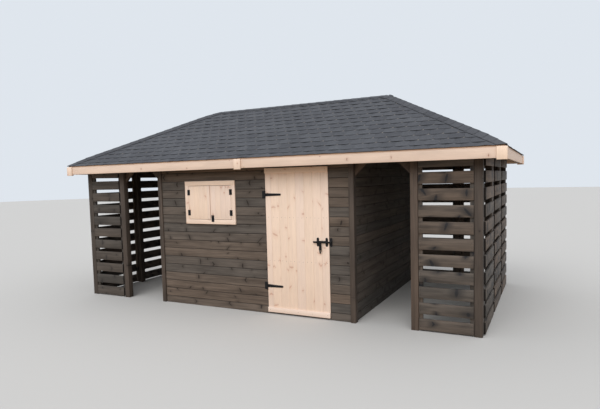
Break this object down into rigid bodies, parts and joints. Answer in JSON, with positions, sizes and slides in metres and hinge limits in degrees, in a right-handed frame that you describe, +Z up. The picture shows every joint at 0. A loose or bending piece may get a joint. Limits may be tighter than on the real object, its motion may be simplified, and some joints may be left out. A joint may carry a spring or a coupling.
{
  "type": "log store",
  "caption": "Timber shed with a closed boarded room between two open, slatted log bays, under one hipped roof of bitumen shingles.",
  "frame": {"origin": "on the ground under the middle of the roof", "axes": "+Z up, +X along the length to the right-hand end seen from the front, +Y to the back; the door faces -Y"},
  "size_m": [6.3, 3.44, 2.9053],
  "materials": {
    "stained_timber": "matt dark brown-grey stain on planed softwood",
    "roof_timber": "matt dark stained sawn softwood",
    "raw_pine": "unfinished planed pine",
    "bitumen_shingle": "dark grey mineral grit on bitumen felt",
    "black_iron": "black powder coat"
  },
  "bodies": {
    "building": {"back_fascia": "raw_pine", "back_rafters": "roof_timber", "back_roof_boards": "roof_timber", "back_shingles": "bitumen_shingle", "back_wall": "stained_timber", "bolt_keeper": "black_iron", "corner_braces": "stained_timber", "cross_top_plates": "stained_timber", "door_hinge_plates": "black_iron", "end_fascias": "raw_pine", "end_rafters": "roof_timber", "end_roof_boards": "roof_timber", "end_shingles": "bitumen_shingle", "fascia_cover_blocks": "raw_pine", "front_fascia": "raw_pine", "front_rafters": "roof_timber", "front_roof_boards": "roof_timber", "front_shingles": "bitumen_shingle", "front_wall_left": "stained_timber", "front_wall_over_door": "stained_timber", "front_wall_right": "stained_timber", "hip_caps": "bitumen_shingle", "hip_rafters": "roof_timber", "left_back_slats": "stained_timber", "left_bay_posts": "stained_timber", "left_end_slats": "stained_timber", "left_front_slats": "stained_timber", "left_room_wall": "stained_timber", "long_top_plates": "stained_timber", "ridge_board": "roof_timber", "ridge_cap": "bitumen_shingle", "right_back_slats": "stained_timber", "right_bay_posts": "stained_timber", "right_end_slats": "stained_timber", "right_front_slats": "stained_timber", "right_room_wall": "stained_timber", "room_posts": "stained_timber", "shutter_fittings": "black_iron", "shutter_frame": "raw_pine", "shutter_leaves": "raw_pine", "side_sole_plates": "stained_timber", "wall_rails": "stained_timber", "wall_studs": "stained_timber"},
    "door": {"door_planks": "raw_pine", "door_rails": "raw_pine", "door_hinge_straps": "black_iron", "bolt_guides": "black_iron"},
    "bolt": {"bolt_rod": "black_iron"}
  },
  "joints": [
    {"name": "door_hinge", "type": "hinge", "parent": "building", "child": "door", "pos_m": [0.2575, -1.491, 0], "axis": [0, 0, -1], "range_deg": [0, 120]},
    {"name": "bolt_slide", "type": "slide", "parent": "door", "child": "bolt", "axis": [1, 0, 0], "range_m": [0, 0.033]}
  ]
}
